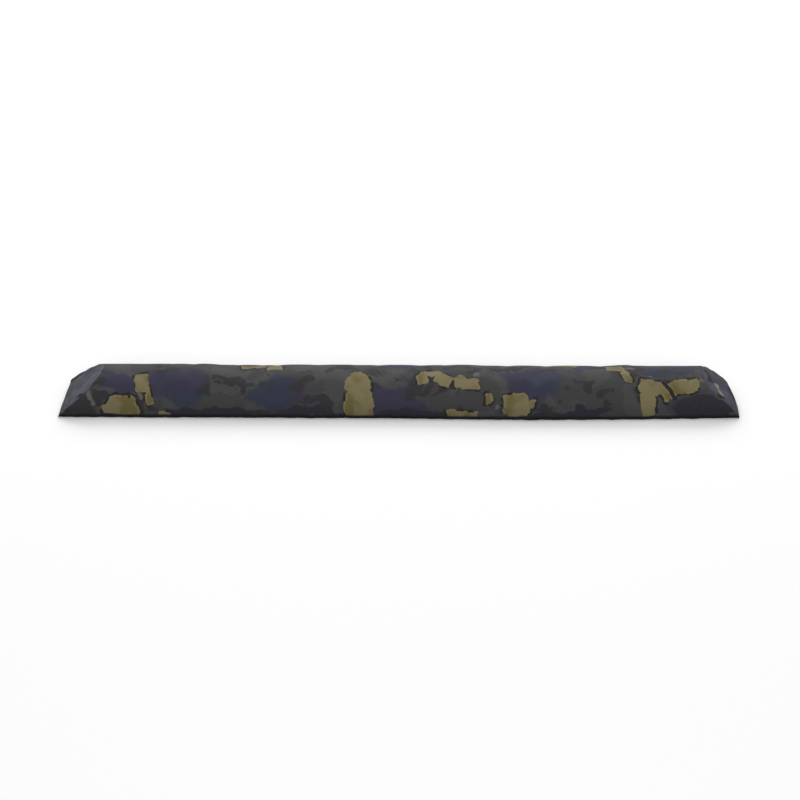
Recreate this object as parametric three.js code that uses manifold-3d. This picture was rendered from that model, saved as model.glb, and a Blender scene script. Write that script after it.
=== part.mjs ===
// A padded roof rack cover for a wing-shaped crossbar: a bevelled foam crown in a sewn cloth cover,
// with two closure flaps folded flat and fastened to each other under it.
// Millimetres, +Z up. X runs along the pad, -Y is its leading side, and the origin is on the
// ground below the middle of the pad.

import * as THREE from "three";
import { mergeVertices } from "three/addons/utils/BufferGeometryUtils.js";
import Module from "manifold-3d";

const wasm = await Module();
wasm.setup();

// The whole pad
const padLength = 864;
const padWidth = 92;
const padHeight = 45;

// The crown's cross-section and the slanted ends
const crownShift = 6; // the ridge lies this far behind the middle of the pad
const sideFullness = 0.53; // power of the crown curve: 0.5 is a half ellipse, 1 a parabola
const bevelRun = 47; // each end is this much shorter at the ridge than at the base
const bevelPower = 1.1; // above 1 the slanted end stands a little steeper at the bottom
const endBow = 1.5; // the middle of an end stands this far out past its corners

// Layers of cloth and tape
const coverFoot = 0.5; // the cover's lower edge hangs this far above the ground
const coverThickness = 1.2;
const baseThickness = 0.8;
const flapThickness = 0.8;
const tapeThickness = 0.8;
const layerGap = 0.3;

// Closure flaps and their hook and loop tapes
const tapeWidth = 50;
const tapeToHem = 3;
const hemWidth = 8;
const flapEndInset = 3; // the flaps stop this far short of each end of the base panel
const tapeEndInset = 10; // and the tapes this far short of each end of the flaps
const flapFoldRadius = 2.4;
const flapCornerRadius = 12;
const tapeCornerRadius = 3;

// How finely the curves are cut into facets
const crownSteps = 48;
const endSteps = 12;
const bevelSteps = 12;
const cornerSteps = 6;

// Heights above the ground, worked up through the folded layers
const frontFlapBottom = 0;
const hookBottom = frontFlapBottom + flapThickness + layerGap;
const loopBottom = hookBottom + tapeThickness + layerGap;
const rearFlapBottom = loopBottom + tapeThickness + layerGap;
const baseBottom = rearFlapBottom + flapThickness + layerGap;
const baseTop = baseBottom + baseThickness;
const foamFoot = baseTop + layerGap;
const crownRise = padHeight - coverFoot;

// What lies inside the cover is this far in from its outer faces
const insideCover = coverThickness + layerGap;

// Reaches of the base panel and the flaps
const baseEndInset = insideCover * Math.hypot(1, bevelRun / crownRise) + bevelAt(baseTop);
const flapReach = tapeWidth / 2 + tapeToHem + hemWidth;
const flapLength = padLength - 2 * (endBow + baseEndInset + flapEndInset);
const tapeLength = flapLength - 2 * tapeEndInset;

// A margin that carries a cutting block clear past what it cuts
const cutMargin = 20;

// How far an end has come in at a height: bevelRun * up ^ bevelPower, where up is the share of the rise.
function bevelAt(height) {
  const up = (height - coverFoot) / crownRise;
  return bevelRun * Math.sign(up) * Math.abs(up) ** bevelPower;
}

function solidOf(geometry) {
  const bare = geometry.index ? geometry.toNonIndexed() : geometry.clone();
  bare.deleteAttribute("normal");
  bare.deleteAttribute("uv");
  const merged = mergeVertices(bare, 1e-4);
  return new wasm.Manifold(
    new wasm.Mesh({
      numProp: 3,
      vertProperties: merged.attributes.position.array,
      triVerts: new Uint32Array(merged.index.array),
    }),
  );
}

function geometryOf(solid) {
  const mesh = solid.getMesh();
  const geometry = new THREE.BufferGeometry();
  geometry.setAttribute("position", new THREE.BufferAttribute(new Float32Array(mesh.vertProperties), 3));
  geometry.setIndex(new THREE.BufferAttribute(new Uint32Array(mesh.triVerts), 1));
  geometry.computeVertexNormals();
  return geometry;
}

// A cross-section drawn in Y and Z, carried along X and centred on the origin.
function alongPad(section, length) {
  const geometry = new THREE.ExtrudeGeometry(section, { depth: length, bevelEnabled: false });
  geometry.translate(0, 0, -length / 2);
  geometry.applyMatrix4(
    new THREE.Matrix4().makeBasis(
      new THREE.Vector3(0, 1, 0),
      new THREE.Vector3(0, 0, 1),
      new THREE.Vector3(1, 0, 0),
    ),
  );
  return geometry;
}

// A plan outline drawn in X and Y, raised from one height to another.
function upFromPlan(outline, bottom, top, steps = 1) {
  const geometry = new THREE.ExtrudeGeometry(outline, {
    depth: top - bottom,
    steps,
    bevelEnabled: false,
    curveSegments: cornerSteps,
  });
  geometry.translate(0, 0, bottom);
  return geometry;
}

// One point of the crown curve, moved inwards at right angles to it. The curve is
// y = halfWidth * sin(angle) and z = rise * cos(angle) ^ (2 * fullness), from front foot to rear foot.
function crownPoint(angle, inset) {
  const halfWidth = padWidth / 2 + (angle < 0 ? crownShift : -crownShift);
  const power = 2 * sideFullness;
  const cosine = Math.max(Math.cos(angle), 1e-6);
  const y = crownShift + halfWidth * Math.sin(angle);
  const z = coverFoot + crownRise * cosine ** power;
  const alongY = halfWidth * cosine;
  const alongZ = -crownRise * power * cosine ** (power - 1) * Math.sin(angle);
  const slope = Math.hypot(alongY, alongZ);
  return new THREE.Vector2(y + (inset * alongZ) / slope, z - (inset * alongY) / slope);
}

// How far from the middle a layer may reach at a height, to lie a gap inside the cover's wall on that side.
function reachInsideCover(side, height) {
  const cosine = (Math.max(height - coverFoot, 0) / crownRise) ** (0.5 / sideFullness);
  return side * crownPoint(side * Math.acos(cosine), insideCover).x;
}

// The crown's section, closed by a straight line across at the given foot.
function crownSection(inset, foot) {
  const curve = [];
  for (let step = 0; step <= crownSteps; step += 1) {
    const angle = Math.PI * (step / crownSteps - 0.5);
    curve.push(crownPoint(angle, inset));
  }
  const first = curve[0];
  const last = curve[crownSteps];
  return new THREE.Shape([new THREE.Vector2(first.x, foot), ...curve, new THREE.Vector2(last.x, foot)]);
}

// The pad's plan: straight sides and gently bowed ends, drawn out to the given half width.
function padPlan(halfWidth, endInset) {
  const outline = [];
  for (const end of [1, -1]) {
    for (let step = 0; step <= endSteps; step += 1) {
      const y = end * halfWidth * ((2 * step) / endSteps - 1);
      const bow = endBow * (y / (padWidth / 2)) ** 2;
      outline.push(new THREE.Vector2(end * (padLength / 2 - bow - endInset), y));
    }
  }
  return new THREE.Shape(outline);
}

// A block with the pad's slanted ends, moved inwards at right angles to them, to cut the crown with.
function slantedBlock(inset) {
  const endInset = inset * Math.hypot(1, bevelRun / crownRise);
  const halfWidth = padWidth / 2 + cutMargin;
  const plan = padPlan(halfWidth, endInset);
  const top = padHeight + cutMargin;
  const slanted = upFromPlan(plan, coverFoot, top, bevelSteps);
  const position = slanted.getAttribute("position");
  for (let index = 0; index < position.count; index += 1) {
    const x = position.getX(index);
    position.setX(index, x - Math.sign(x) * bevelAt(position.getZ(index)));
  }
  const below = upFromPlan(plan, coverFoot - cutMargin, coverFoot);
  return solidOf(slanted).add(solidOf(below));
}

// The crown as a solid, with its curve and its ends each moved inwards by their own amount.
function crownSolid(curveInset, endInset, foot = coverFoot) {
  const bar = solidOf(alongPad(crownSection(curveInset, foot), padLength + 2 * cutMargin));
  return bar.intersect(slantedBlock(endInset));
}

// The foam block, cut flat below and on a slant at both ends.
function foamCore() {
  const above = new THREE.BoxGeometry(2 * padLength, 2 * padWidth, padHeight);
  above.translate(0, 0, foamFoot + padHeight / 2);
  return geometryOf(crownSolid(insideCover, insideCover).intersect(solidOf(above)));
}

// The printed panel over the front, ridge and back, open below and at both ends.
function topCover() {
  const outside = crownSolid(0, insideCover);
  const inside = solidOf(
    alongPad(crownSection(coverThickness, coverFoot - cutMargin), padLength + 2 * cutMargin),
  );
  return geometryOf(outside.subtract(inside));
}

// The arched panel sewn over one slanted end: end is 1 on the +X side and -1 on the -X side.
function endPanel(end) {
  const skins = crownSolid(0, 0).subtract(crownSolid(-cutMargin, coverThickness, coverFoot - cutMargin));
  const halfSpace = new THREE.BoxGeometry(padLength, 2 * padWidth, 4 * padHeight);
  halfSpace.translate((end * padLength) / 2, 0, 0);
  return geometryOf(skins.intersect(solidOf(halfSpace)));
}

// The plain panel across the bottom, inside the cover's edge and between the flaps where they are sewn in.
function basePanel() {
  const reach = Math.min(reachInsideCover(-1, baseTop), reachInsideCover(1, baseTop));
  return upFromPlan(padPlan(reach - flapThickness - layerGap, baseEndInset), baseBottom, baseTop);
}

// A rectangle in plan with four round corners.
function roundedPlan(length, yFrom, yTo, radius) {
  const outline = new THREE.Shape();
  const x = length / 2 - radius;
  outline.absarc(x, yFrom + radius, radius, -Math.PI / 2, 0);
  outline.absarc(x, yTo - radius, radius, 0, Math.PI / 2);
  outline.absarc(-x, yTo - radius, radius, Math.PI / 2, Math.PI);
  outline.absarc(-x, yFrom + radius, radius, Math.PI, 1.5 * Math.PI);
  return outline;
}

// A quarter turn of points about a centre, for the fold of a flap.
function foldArc(y, z, radius, fromAngle, toAngle) {
  const points = [];
  for (let step = 0; step <= cornerSteps; step += 1) {
    const angle = fromAngle + ((toAngle - fromAngle) * step) / cornerSteps;
    points.push([y + radius * Math.cos(angle), z + radius * Math.sin(angle)]);
  }
  return points;
}

// One closure flap. It hangs inside the cover's edge beside the base panel, turns under the pad and
// runs past the middle to a hem that is doubled up or down. side is -1 for the front and 1 for the rear.
function closureFlap(side, bottom, hemGoesUp) {
  const seam = -reachInsideCover(side, baseTop);
  const top = bottom + flapThickness;
  const radius = Math.min(flapFoldRadius, baseBottom - bottom);
  const innerRadius = radius - flapThickness;
  const hemStart = flapReach - hemWidth;
  const hemTop = hemGoesUp ? top + flapThickness : top;
  const hemBottom = hemGoesUp ? bottom : bottom - flapThickness;
  const foldY = seam + radius;
  const foldZ = bottom + radius;
  const points = [
    [seam, baseTop],
    ...foldArc(foldY, foldZ, radius, Math.PI, 1.5 * Math.PI),
    ...(hemGoesUp ? [] : [[hemStart, bottom], [hemStart, hemBottom]]),
    [flapReach, hemBottom],
    [flapReach, hemTop],
    ...(hemGoesUp ? [[hemStart, hemTop], [hemStart, top]] : []),
    ...foldArc(seam + flapThickness + innerRadius, top + innerRadius, innerRadius, 1.5 * Math.PI, Math.PI),
    [seam + flapThickness, baseTop],
  ];
  const section = new THREE.Shape(points.map(([y, z]) => new THREE.Vector2(-side * y, z)));
  const strip = solidOf(alongPad(section, flapLength));
  const seamSide = side * (padWidth / 2 + cutMargin);
  const freeSide = -side * flapReach;
  const plan = roundedPlan(
    flapLength,
    Math.min(seamSide, freeSide),
    Math.max(seamSide, freeSide),
    flapCornerRadius,
  );
  return geometryOf(strip.intersect(solidOf(upFromPlan(plan, -cutMargin, padHeight))));
}

// A strip of hook or loop tape, lying flat with its underside at height 0.
function fasteningTape() {
  const plan = roundedPlan(tapeLength, -tapeWidth / 2, tapeWidth / 2, tapeCornerRadius);
  return upFromPlan(plan, 0, tapeThickness);
}

const printedCloth = new THREE.MeshStandardMaterial({ color: "#46474b", roughness: 0.72, metalness: 0 });
const endCloth = new THREE.MeshStandardMaterial({ color: "#4e4f58", roughness: 0.72, metalness: 0 });
const baseCloth = new THREE.MeshStandardMaterial({ color: "#1e1f22", roughness: 0.85, metalness: 0 });
const flapCloth = new THREE.MeshStandardMaterial({ color: "#202124", roughness: 0.8, metalness: 0 });
const hookTape = new THREE.MeshStandardMaterial({ color: "#18191b", roughness: 0.6, metalness: 0 });
const loopTape = new THREE.MeshStandardMaterial({ color: "#232427", roughness: 0.95, metalness: 0 });
const foam = new THREE.MeshStandardMaterial({ color: "#5d6064", roughness: 0.9, metalness: 0 });

function piece(name, geometry, material, height = 0) {
  const mesh = new THREE.Mesh(geometry, material);
  mesh.name = name;
  mesh.position.z = height;
  return mesh;
}

const paddedCrown = new THREE.Group();
paddedCrown.add(
  piece("foam_core", foamCore(), foam),
  piece("top_cover", topCover(), printedCloth),
  piece("end_panel_left", endPanel(-1), endCloth),
  piece("end_panel_right", endPanel(1), endCloth),
  piece("base_panel", basePanel(), baseCloth),
);

const closure = new THREE.Group();
closure.add(
  piece("front_flap", closureFlap(-1, frontFlapBottom, true), flapCloth),
  piece("rear_flap", closureFlap(1, rearFlapBottom, false), flapCloth),
  piece("hook_tape", fasteningTape(), hookTape, hookBottom),
  piece("loop_tape", fasteningTape(), loopTape, loopBottom),
);

const pad = new THREE.Group();
pad.add(paddedCrown, closure);

export default pad;
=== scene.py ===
import math

import bmesh
import bpy
import numpy as np
from mathutils import Matrix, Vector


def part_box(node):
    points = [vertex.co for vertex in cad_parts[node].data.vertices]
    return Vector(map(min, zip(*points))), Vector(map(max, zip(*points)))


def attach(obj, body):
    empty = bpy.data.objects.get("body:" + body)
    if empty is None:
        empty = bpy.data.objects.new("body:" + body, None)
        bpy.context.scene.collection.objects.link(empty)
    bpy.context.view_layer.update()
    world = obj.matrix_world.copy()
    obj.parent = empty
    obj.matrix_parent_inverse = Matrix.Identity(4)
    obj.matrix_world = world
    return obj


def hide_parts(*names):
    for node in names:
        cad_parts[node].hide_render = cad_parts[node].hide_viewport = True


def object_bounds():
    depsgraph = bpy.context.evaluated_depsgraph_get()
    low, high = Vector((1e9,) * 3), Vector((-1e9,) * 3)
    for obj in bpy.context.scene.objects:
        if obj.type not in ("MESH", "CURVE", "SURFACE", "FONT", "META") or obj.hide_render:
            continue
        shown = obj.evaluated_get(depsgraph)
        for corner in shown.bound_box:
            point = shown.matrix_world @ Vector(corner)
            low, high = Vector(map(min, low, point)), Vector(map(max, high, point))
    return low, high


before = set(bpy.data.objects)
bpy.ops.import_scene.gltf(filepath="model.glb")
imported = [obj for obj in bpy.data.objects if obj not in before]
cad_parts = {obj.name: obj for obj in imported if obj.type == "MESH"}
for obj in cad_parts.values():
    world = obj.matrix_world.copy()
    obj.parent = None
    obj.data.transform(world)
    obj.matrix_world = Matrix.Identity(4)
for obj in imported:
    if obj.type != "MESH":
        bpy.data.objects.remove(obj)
cadLow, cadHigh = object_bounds()
print("Frame loaded, with", len(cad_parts), "nodes")

# Metres throughout, as in the frame. X runs along the pad, and -Y is the side that the camera sees.
coverLow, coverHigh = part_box("top_cover")
endBow = 0.0015  # the middle of the solids' ends stands this far out past their corners
crown = {
    "cornerReach": cadHigh.x - endBow,  # from the middle of the pad to its four lower corners
    "halfWidth": coverHigh.y,
    "foot": coverLow.z,
    "rise": coverHigh.z - coverLow.z,
    "ridgeShift": 0.006,  # the ridge lies this far behind the middle
    "fullness": 0.6,  # power of the crown curve: 0.5 is a half ellipse, 1 a parabola
    "curveSteps": 4001,
    # how far the front's foot lies forward of a straight line, at even steps along the pad
    "frontSag": [0, 0, 0, 0, 0, 0.0026, 0.0026, 0, -0.0052],
    "sagSteps": 400,
}

# Each end's seam: how far its middle stands out past its corners (bow), and how much shorter the pad is at
# the ridge than at the base (run), by what power. The seam is also drawn in at the front shoulder and at
# the rear one (front, rear). The draw is nothing at the pad's middle line, and whole from a distance in
# front of it or behind it.
ends = {
    "left": {"bow": 0.0003, "run": 0.0538, "power": 1.33, "front": 0.0054, "frontPower": 1.4,
             "frontFrom": 0.039, "rear": 0.0042},
    "right": {"bow": 0.0026, "run": 0.0472, "power": 1.27, "front": 0.0056, "frontPower": 2.9,
              "frontFrom": 0.015, "rear": 0.0028},
    "rearFrom": 0.03,
}


# The crown's cross-section at shares of its cloth, from the front foot at 0 to the rear foot at 1:
# y = ridgeShift + reach * sin(angle), z = foot + rise * cos(angle) ** (2 * fullness), moved inwards by the
# inset, where reach is the way from the ridge to the front foot or to the rear one. Gives y, z, the outward
# normal's y and z, and the length of cloth from the front foot.
def crownCurve(share, inset=0.0):
    angle = np.linspace(-math.pi / 2, math.pi / 2, crown["curveSteps"])
    reach = crown["halfWidth"] - np.sign(angle) * crown["ridgeShift"]
    y = crown["ridgeShift"] + reach * np.sin(angle)
    z = crown["foot"] + crown["rise"] * np.cos(angle).clip(0) ** (2 * crown["fullness"])
    length = np.append(0, np.cumsum(np.hypot(np.diff(y), np.diff(z))))
    lines = (y, z, -np.gradient(z, length), np.gradient(y, length))
    wanted = np.asarray(share) * length[-1]
    y, z, normalY, normalZ = [np.interp(wanted, length, line) for line in lines]
    return y - inset * normalY, z - inset * normalZ, normalY, normalZ, wanted


# Half the pad's length at a point of the section, where side is below 0 for the left end: the corners'
# reach, plus the bow times 1 - (y / halfWidth) ** 2, less run * up ** power, where up is the share of the
# rise, and less the draw on the shoulders, which goes with sin(pi * up ** frontPower) in front and with
# sin(pi * up) behind.
def seamReach(y, z, side):
    shape = {key: np.where(side < 0, ends["left"][key], ends["right"][key]) for key in ends["left"]}
    up = np.clip((z - crown["foot"]) / crown["rise"], 0, 1)
    front = np.clip(-y / shape["frontFrom"], 0, 1) * np.sin(math.pi * up ** shape["frontPower"])
    rear = np.clip(y / ends["rearFrom"], 0, 1) * np.sin(math.pi * up)
    reach = crown["cornerReach"] + shape["bow"] * (1 - (y / crown["halfWidth"]) ** 2)
    return reach - shape["run"] * up ** shape["power"] - shape["front"] * front - shape["rear"] * rear


# Weights that carry values at even knots to new places along a line, by cubic B-splines: within one knot
# (4 - 6 * distance ** 2 + 3 * distance ** 3) / 6, and (2 - distance) ** 3 / 6 up to two knots away. The
# knots past both ends take the end knots' values.
def splineWeights(places, knots):
    at = np.asarray(places) * (knots - 1)
    offset = np.abs(at[:, None] - np.arange(-1, knots + 1)[None])
    near = (4 - 6 * offset**2 + 3 * offset**3) / 6
    far = (2 - offset).clip(0) ** 3 / 6
    weights = np.where(offset < 1, near, far)
    inner = weights[:, 1:-1].copy()
    inner[:, 0] += weights[:, 0]
    inner[:, -1] += weights[:, -1]
    return inner


# The same points with the front's sag: each moves forward by the sag at its x, times its share of the way
# from the middle to the front foot.
def sagged(points):
    knots = crown["frontSag"]
    along = np.linspace(0, 1, crown["sagSteps"])
    line = splineWeights(along, len(knots)) @ np.array(knots)
    x, y, z = points[..., 0], points[..., 1], points[..., 2]
    sag = np.interp(x / (2 * crown["cornerReach"]) + 0.5, along, line)
    return np.stack([x, y - sag * np.clip(-y / crown["halfWidth"], 0, 1), z], -1)


girth = float(crownCurve(1.0)[4])


# A smooth random line or field, mostly between -1 and 1: a sum of waves of one range of lengths, with
# directions and phases from a seed.
def softWaves(seed, along, across, shortest, longest, count=24):
    dice = np.random.default_rng(seed)
    total = np.zeros(np.broadcast(along, across).shape)
    for _ in range(count):
        turn, phase = dice.uniform(0, 2 * math.pi, 2)
        wave = 2 * math.pi / dice.uniform(shortest, longest)
        total += np.sin(wave * (np.cos(turn) * along + np.sin(turn) * across) + phase)
    return total / math.sqrt(count / 2)


# Grids of points, rows x columns x 3, as one mesh of four-sided faces. Its UV map is the place on the flat
# cloth, in metres. Closing it merges the points that meet, at poles and where the last column comes back to
# the first: those within a thousandth of a millimetre.
def gridPiece(name, points, flat, flip=False, close=False):
    rows, columns = points.shape[-3:-1]
    corner = np.arange(points.size // 3).reshape(-1, rows, columns)
    around = [corner[:, :-1, :-1], corner[:, 1:, :-1], corner[:, 1:, 1:], corner[:, :-1, 1:]]
    faces = np.stack(around[::-1] if flip else around, -1).reshape(-1, 4)
    mesh = bpy.data.meshes.new(name)
    mesh.from_pydata(points.reshape(-1, 3).tolist(), [], faces.tolist())
    layer = mesh.uv_layers.new(name="cloth")
    layer.data.foreach_set("uv", flat.reshape(-1, 2)[faces.ravel()].astype(np.float32).ravel())
    mesh.polygons.foreach_set("use_smooth", np.ones(len(mesh.polygons), bool))
    if close:
        shell = bmesh.new()
        shell.from_mesh(mesh)
        bmesh.ops.remove_doubles(shell, verts=shell.verts, dist=1e-6)
        shell.to_mesh(mesh)
        shell.free()
    mesh.update()
    piece = bpy.data.objects.new(name, mesh)
    bpy.context.scene.collection.objects.link(piece)
    return piece


# Adds a modifier and its settings.
def finishWith(piece, kind, **settings):
    modifier = piece.modifiers.new(kind.lower(), kind)
    for setting, value in settings.items():
        setattr(modifier, setting, value)
    return modifier


# A piece on the pad's one body, with its slot, its material and the node that it stands for.
def dress(piece, material, node=None):
    piece.data.materials.append(material)
    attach(piece, "root")
    if node:
        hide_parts(node)


# Cloth blown up over the foam: the grid becomes a Cloth with air pressure below it and its border pinned at
# the seams. Gives how far each point moved, held under a cap by cap * tanh(distance / cap).
def blownCloth(points, flat, settings):
    scene = bpy.context.scene
    sheet = gridPiece("cloth_trial", points, flat)
    index = np.arange(points.size // 3).reshape(points.shape[:2])
    border = np.unique(np.concatenate([index[0], index[-1], index[:, 0], index[:, -1]]))
    sheet.vertex_groups.new(name="seams").add(border.tolist(), 1.0, "REPLACE")
    cloth = finishWith(sheet, "CLOTH")
    for setting, value in settings["cloth"].items():
        setattr(cloth.settings, setting, value)
    cloth.settings.use_pressure = True
    cloth.settings.effector_weights.gravity = 0
    cloth.settings.vertex_group_mass = "seams"
    cloth.point_cache.frame_start = 1
    cloth.point_cache.frame_end = settings["frames"]
    for step in range(1, settings["frames"] + 1):
        scene.frame_set(step)
    blown = sheet.evaluated_get(bpy.context.evaluated_depsgraph_get())
    after = np.zeros(points.size, np.float32)
    blown.data.vertices.foreach_get("co", after)
    moved = after.reshape(points.shape).astype(float) - points
    bpy.data.objects.remove(sheet)
    scene.frame_set(1)
    distance = np.linalg.norm(moved, axis=2, keepdims=True)
    notZero = distance.clip(1e-9)
    return moved * settings["cap"] * np.tanh(distance / settings["cap"]) / notZero


# The last stretch of cloth before a seam turns in over a quarter circle. Gives how far it stops short of
# the seam and how far it dips, from the distance to the seam measured on the cloth.
def seamRoll(toSeam, radius):
    quarter = radius * math.pi / 2
    turn = (1 - toSeam / quarter).clip(0, 1) * math.pi / 2
    short = np.where(toSeam < quarter, radius - radius * np.sin(turn) - toSeam, 0)
    return short, radius * (1 - np.cos(turn))


# Shares from 0 to 1 of a length, in even coarse steps with fine ones near both ends, for rolled edges.
def edgeSteps(length, fine, fineRun, coarse):
    near = np.linspace(0, fineRun, round(fineRun / fine) + 1)
    middle = np.linspace(fineRun, length - fineRun, round((length - 2 * fineRun) / coarse) + 1)
    return np.concatenate([near[:-1], middle[:-1], length - near[::-1]]) / length


coverCloth = {
    "thickness": 0.0009,
    "endRoll": 0.001, "footRoll": 0.0006,
    "fineStep": 0.0005, "fineRun": 0.004, "alongStep": 0.0026, "aroundStep": 0.0018,
    "puckerDepth": 0.0005, "puckerReach": 0.009, "puckerShortest": 0.008, "puckerLongest": 0.018,
    "footPucker": 0.6,  # the puckers along the bottom are this much as deep as those at the ends
    "footPuckerLongest": 0.036,
    "endShift": 9, "footShift": 7,  # keeps the two ends, and the two long edges, from puckering alike
    "waveHeight": 0.00035, "waveShortest": 0.05, "waveLongest": 0.16,
    "trialStep": 0.0046, "uneven": 0.0002, "unevenShortest": 0.018, "unevenLongest": 0.05,
    "averagePower": 6,
    "seeds": {"uneven": 3, "puckers": 11, "footPuckers": 12, "waves": 13},
    "blow": {
        "frames": 20, "cap": 0.0022,
        "cloth": {"quality": 6, "mass": 0.25, "tension_stiffness": 20, "compression_stiffness": 20,
                  "shear_stiffness": 8, "bending_stiffness": 1.5, "uniform_pressure_force": 4,
                  "shrink_min": -0.006},
    },
}


# A point of the cover: along is the share of the length between the seams, from -1 to 1, and around the
# share of the girth. The offset is added along the surface's normal.
def coverSurface(along, around, offset):
    y, z, normalY, normalZ, cloth = crownCurve(around)
    x = along * seamReach(y, z, along)
    points = np.broadcast_arrays(x, y + normalY * offset, z + normalZ * offset)
    flat = np.broadcast_arrays(x, cloth)
    return np.stack(points, -1), np.stack(flat, -1)


# The movement of the cover's cloth over its foam, simulated on a coarse grid and carried to the cover's own
# by cubic B-splines.
def coverMovement(along, around):
    settings = coverCloth
    rows = round(2 * crown["cornerReach"] / settings["trialStep"])
    columns = round(girth / settings["trialStep"])
    trialAlong = np.linspace(-1, 1, rows)[:, None]
    trialAround = np.linspace(0, 1, columns)[None]
    uneven = softWaves(settings["seeds"]["uneven"], trialAlong * crown["cornerReach"], trialAround * girth,
                       settings["unevenShortest"], settings["unevenLongest"])
    points, flat = coverSurface(trialAlong, trialAround, settings["uneven"] * uneven)
    moved = blownCloth(points, flat, settings["blow"])
    # The crown's curve already holds the cloth's average, so only what differs along the pad is kept. At
    # the pinned ends nothing moves, so there the average isn't taken off.
    inside = 1 - np.abs(trialAlong) ** settings["averagePower"]
    moved = moved - moved.mean(0) * inside[..., None]
    print("Cloth moved", round(1000 * float(np.linalg.norm(moved, axis=2).mean()), 2), "mm on average")
    alongWeights = splineWeights((along.ravel() + 1) / 2, rows)
    aroundWeights = splineWeights(around.ravel(), columns)
    return np.einsum("ai,ijk,bj->abk", alongWeights, moved, aroundWeights)


# The printed cover: the crown's surface with the cloth's movement over the foam, slow waves, puckers that
# fade from every seam by exp(-distance / reach), edges that roll into the seams, and the front's sag.
def makeCover():
    settings = coverCloth
    steps = settings["fineStep"], settings["fineRun"]
    along = 2 * edgeSteps(2 * crown["cornerReach"], *steps, settings["alongStep"])[:, None] - 1
    around = edgeSteps(girth, *steps, settings["aroundStep"])[None]
    y, z, normalY, normalZ, cloth = crownCurve(around)
    reach = seamReach(y, z, along)
    x = along * reach
    toEnd = (1 - np.abs(along)) * reach
    toFoot = np.minimum(cloth, girth - cloth) + 0 * along
    seeds, shortest = settings["seeds"], settings["puckerShortest"]
    endPlace = cloth + settings["endShift"] * np.sign(along)
    footPlace = x + settings["footShift"] * np.sign(cloth - girth / 2)
    puckers = softWaves(seeds["puckers"], endPlace, 0 * x, shortest, settings["puckerLongest"])
    footPuckers = softWaves(seeds["footPuckers"], footPlace, 0 * cloth, shortest,
                            settings["footPuckerLongest"])
    fadeEnd = np.exp(-toEnd / settings["puckerReach"])
    fadeFoot = np.exp(-toFoot / settings["puckerReach"])
    waves = softWaves(seeds["waves"], x, cloth, settings["waveShortest"], settings["waveLongest"])
    offset = settings["puckerDepth"] * (puckers * fadeEnd + settings["footPucker"] * footPuckers * fadeFoot)
    offset = offset + settings["waveHeight"] * waves * (1 - fadeEnd) * (1 - fadeFoot)
    shortEnd, dipEnd = seamRoll(toEnd, settings["endRoll"])
    dipFoot = seamRoll(toFoot, settings["footRoll"])[1]
    points, flat = coverSurface(along, around, offset - dipEnd - dipFoot)
    points = points + coverMovement(along, around)
    points[..., 0] += np.sign(along) * shortEnd
    return gridPiece("crown_cover", sagged(points), flat)


endCloth = {
    "thickness": 0.0009,
    "archRoll": 0.001, "footRoll": 0.0006,
    "upSteps": 24,
    "puff": {-1: 0.0025, 1: 0.0035},  # how far the middle of the left and of the right panel stands out
    "puffUp": 0.7, "puffAcross": 0.8,  # the powers by which it falls off towards the seams
    "seed": {-1: 16, 1: 26},  # of the waves, and the next one is the puckers'
    "steepest": 0.15,  # the arch's slope counts as no steeper, by the upward part of its normal
    "slantStretch": 1.6,  # the waves are drawn out up the slant, which is this much as long as it is high
    "puckerDepth": 0.0004, "puckerReach": 0.008, "puckerShortest": 0.007, "puckerLongest": 0.015,
    "waveHeight": 0.0005, "waveShortest": 0.02, "waveLongest": 0.05,
    "lowest": 0.0009,  # the panel's outer face stays this high, so that its inner face clears the ground
    "mapShift": 0.5,  # the panels lie this far from the cover on the flat cloth
}


# The arched panel over one slanted end: columns stand at even steps of the arch, and rows rise from the
# straight base to the arch. It puffs out along the slant's normal by puff * (4 * up * (1 - up)) ** puffUp *
# (the arch's share of the rise) ** puffAcross, and rolls into its seams.
def makeEndPanel(name, end):
    settings = endCloth
    around = edgeSteps(girth, coverCloth["fineStep"], coverCloth["fineRun"], coverCloth["aroundStep"])[None]
    up = (1 - np.cos(np.linspace(0, math.pi, settings["upSteps"])))[:, None] / 2
    y, top, _, normalZ, cloth = crownCurve(around)
    z = crown["foot"] + up * (top - crown["foot"])
    y = y + 0 * z
    x = seamReach(y, z, end)
    run = ends["left" if end < 0 else "right"]["run"]
    toFoot = (z - crown["foot"]) * math.hypot(1, run / crown["rise"])
    toArch = (top - z) * np.abs(normalZ).clip(settings["steepest"])
    seed, stretched = settings["seed"][end], settings["slantStretch"] * z
    waves = softWaves(seed, y, stretched, settings["waveShortest"], settings["waveLongest"])
    puckers = softWaves(seed + 1, cloth + 0 * z, 0 * z, settings["puckerShortest"], settings["puckerLongest"])
    archShare = (top - crown["foot"]) / crown["rise"]
    belly = (4 * up * (1 - up)) ** settings["puffUp"] * archShare ** settings["puffAcross"]
    inside = 1 - np.exp(-np.minimum(toFoot, toArch) / settings["puckerReach"])
    offset = settings["puff"][end] * belly + settings["waveHeight"] * waves * inside
    offset = offset + settings["puckerDepth"] * puckers * np.exp(-toArch / settings["puckerReach"])
    offset = offset - seamRoll(toArch, settings["archRoll"])[1] - seamRoll(toFoot, settings["footRoll"])[1]
    slant = math.atan2(run, crown["rise"])
    z = np.maximum(z + offset * math.sin(slant), settings["lowest"])
    x = end * (x + offset * math.cos(slant))
    points = np.stack([x, y, z], -1)
    flat = np.stack([end * (crown["cornerReach"] + toFoot), y + settings["mapShift"]], -1)
    return gridPiece(name, sagged(points), flat, flip=end > 0, close=True)


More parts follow.
